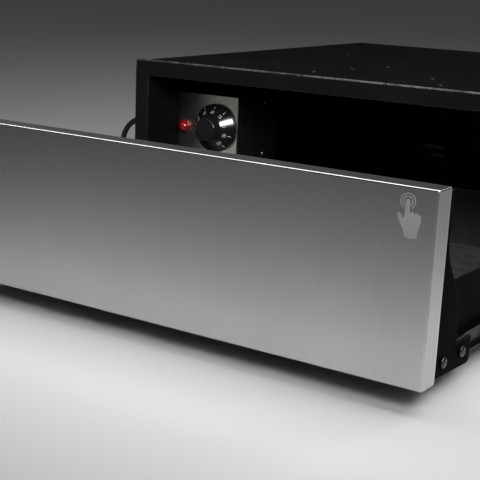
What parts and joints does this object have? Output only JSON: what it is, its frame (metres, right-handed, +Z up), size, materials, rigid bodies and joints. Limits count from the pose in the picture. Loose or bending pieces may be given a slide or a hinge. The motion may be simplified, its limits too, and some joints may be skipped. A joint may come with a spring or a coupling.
{
  "type": "built-in warming drawer",
  "caption": "Built-in warming drawer with a pull-out tray on telescopic rails, a steel front panel, a black housing, a dial thermostat, a pilot lamp, a fan heater and a mains lead.",
  "frame": {"origin": "underside of the housing, at the centre of its footprint", "axes": "+X to the user's right, -Y the way the drawer opens, +Z up; the drawer is stored fully open"},
  "size_m": [0.7047, 1.0545, 0.1812],
  "materials": {
    "housing_black": "satin black powder coat",
    "cavity_black": "matt black inner sheet",
    "galvanised_sheet": "galvanised sheet",
    "brushed_stainless": "brushed stainless, fine grain",
    "plate_stainless": "brushed stainless control plate",
    "bracket_black": "satin black",
    "tray_black": "satin black tray",
    "mat_grey": "mottled anti-slip mat",
    "rail_steel": "dark plated rail steel",
    "cage_steel": "plated steel",
    "screw_steel": "bright screw heads",
    "black_screw": "dark screw heads",
    "insulation_wool": "mineral wool",
    "dial_black": "gloss black with white figures",
    "lamp_red": "translucent red",
    "lamp_black": "black moulding",
    "terminal_white": "off-white moulding",
    "thermostat_metal": "bright case",
    "heater_steel": "heat-tinted tube",
    "fan_aluminium": "pressed wheel",
    "motor_steel": "motor case",
    "copper_tube": "copper capillary",
    "gland_black": "black nylon",
    "cord_black": "black flexible sheath",
    "plug_black": "black moulded plug",
    "pin_brass": "plated pins",
    "latch_plastic": "dark moulding"
  },
  "bodies": {
    "housing": {"base_panel": "galvanised_sheet", "side_panel_left": "housing_black", "side_panel_right": "housing_black", "top_cover": "housing_black", "rear_panel": "galvanised_sheet", "front_frame": "housing_black", "ceiling_liner": "cavity_black", "top_insulation": "insulation_wool", "rear_baffle": "cavity_black", "plenum_cover": "galvanised_sheet", "heater_element": "heater_steel", "heater_terminal": "terminal_white", "fan_motor": "motor_steel", "thermal_cutout": "thermostat_metal", "left_rail_support": "cavity_black", "fixed_rail_left": "rail_steel", "fixed_rail_right": "rail_steel", "control_box": "cavity_black", "control_plate": "plate_stainless", "thermostat_body": "thermostat_metal", "lamp_lens": "lamp_red", "lamp_body": "lamp_black", "terminal_block": "terminal_white", "terminal_shelf": "galvanised_sheet", "cable_gland": "gland_black", "gland_nut": "gland_black", "strain_relief": "gland_black", "sensor_bulb": "copper_tube", "wiring_loom": "cord_black", "latch_body": "latch_plastic", "top_cover_screws": "black_screw", "control_box_screws": "screw_steel", "power_cord": "cord_black", "power_cord_coil": "cord_black", "power_plug": "plug_black", "plug_pins": "pin_brass"},
    "drawer": {"front_panel": "brushed_stainless", "panel_liner": "bracket_black", "panel_insulation": "insulation_wool", "bracket_left": "bracket_black", "bracket_right": "bracket_black", "bracket_screws": "screw_steel", "bracket_spacers": "screw_steel", "tray": "tray_black", "tray_mat": "mat_grey", "drawer_rail_left": "rail_steel", "drawer_rail_right": "rail_steel", "latch_striker": "screw_steel"},
    "mid_rails": {"mid_rail_left": "rail_steel", "mid_rail_right": "rail_steel"},
    "outer_cages": {"outer_cage_left": "cage_steel", "outer_cage_right": "cage_steel"},
    "inner_cages": {"inner_cage_left": "cage_steel", "inner_cage_right": "cage_steel"},
    "dial": {"thermostat_dial": "dial_black", "thermostat_shaft": "screw_steel"},
    "fan_rotor": {"fan_wheel": "fan_aluminium", "fan_shaft": "screw_steel"},
    "latch_pin": {"latch_plunger": "latch_plastic"}
  },
  "joints": [
    {"name": "drawer_slide", "type": "slide", "parent": "housing", "child": "drawer", "axis": [0, 1, 0], "range_m": [0, 0.4]},
    {"name": "mid_rail_slide", "type": "slide", "parent": "housing", "child": "mid_rails", "axis": [0, 1, 0], "range_m": [0, 0.2]},
    {"name": "outer_cage_slide", "type": "slide", "parent": "housing", "child": "outer_cages", "axis": [0, 1, 0], "range_m": [0, 0.1]},
    {"name": "inner_cage_slide", "type": "slide", "parent": "housing", "child": "inner_cages", "axis": [0, 1, 0], "range_m": [0, 0.3]},
    {"name": "dial_turn", "type": "hinge", "parent": "housing", "child": "dial", "pos_m": [-0.2224, -0.21, 0.099], "axis": [0, 1, 0], "range_deg": [0, 270]},
    {"name": "fan_spin", "type": "hinge", "parent": "housing", "child": "fan_rotor", "pos_m": [0, 0.16, 0.082], "axis": [0, 1, 0], "continuous": true},
    {"name": "latch_push", "type": "slide", "parent": "housing", "child": "latch_pin", "axis": [0, 1, 0], "range_m": [0, 0.006], "stiffness_N_per_m": 500, "springref_m": -0.004}
  ],
  "couplings": [
    {"joint": "mid_rail_slide", "follows": "drawer_slide", "ratio": 0.5},
    {"joint": "outer_cage_slide", "follows": "drawer_slide", "ratio": 0.25},
    {"joint": "inner_cage_slide", "follows": "drawer_slide", "ratio": 0.75}
  ]
}
